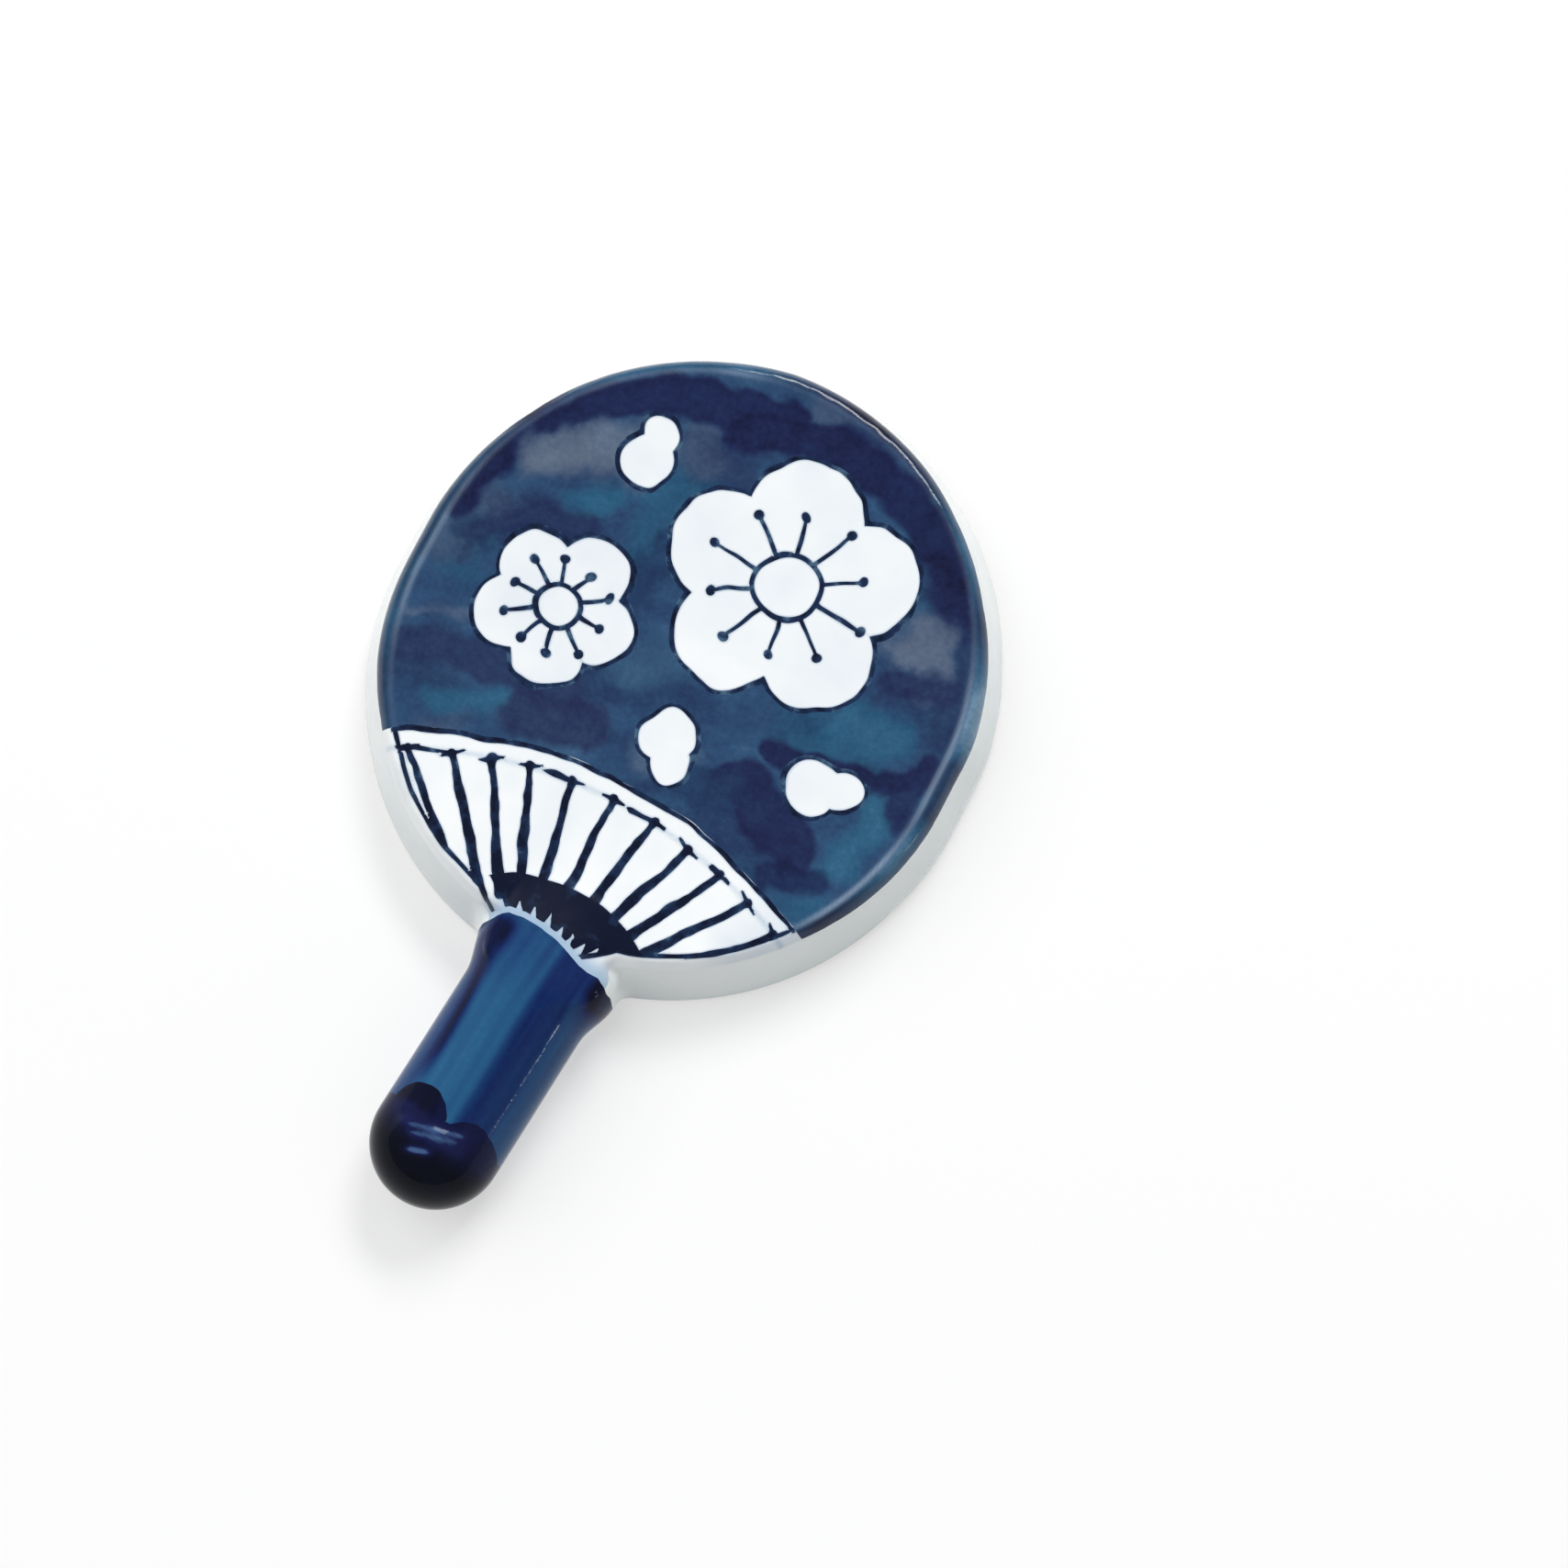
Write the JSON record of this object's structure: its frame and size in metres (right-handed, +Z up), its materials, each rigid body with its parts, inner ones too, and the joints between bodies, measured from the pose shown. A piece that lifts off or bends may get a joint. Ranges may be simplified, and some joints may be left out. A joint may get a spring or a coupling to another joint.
{
  "type": "chopstick rest",
  "caption": "Glazed porcelain chopstick rest shaped like a round hand fan, with a cobalt-blue leaf, a white rib window and a stubby round handle.",
  "frame": {"origin": "on the table under the middle of the whole piece", "axes": "+Z up out of the table, +Y along the leaf away from the handle, +X to the right seen from above with the handle nearest"},
  "size_m": [0.0446, 0.0664, 0.0076],
  "materials": {
    "porcelain": "fired white porcelain, matte where it is bare",
    "clear_glaze": "glossy clear glaze over white porcelain",
    "blue_wash": "glossy cobalt wash with brush marks",
    "dark_line": "glossy dark cobalt brush line",
    "handle_blue": "glossy streaky cobalt wash",
    "tip_blue": "glossy near-black cobalt wash"
  },
  "bodies": {
    "root": {"leaf_body": "porcelain", "handle_body": "porcelain", "neck_slip": "porcelain", "wall_glaze": "clear_glaze", "leaf_wash": "blue_wash", "blossom_glaze": "clear_glaze", "blossom_lines": "dark_line", "window_glaze": "clear_glaze", "window_lines": "dark_line", "rib_gather": "dark_line", "handle_wash": "handle_blue", "tip_wash": "tip_blue"}
  },
  "joints": []
}
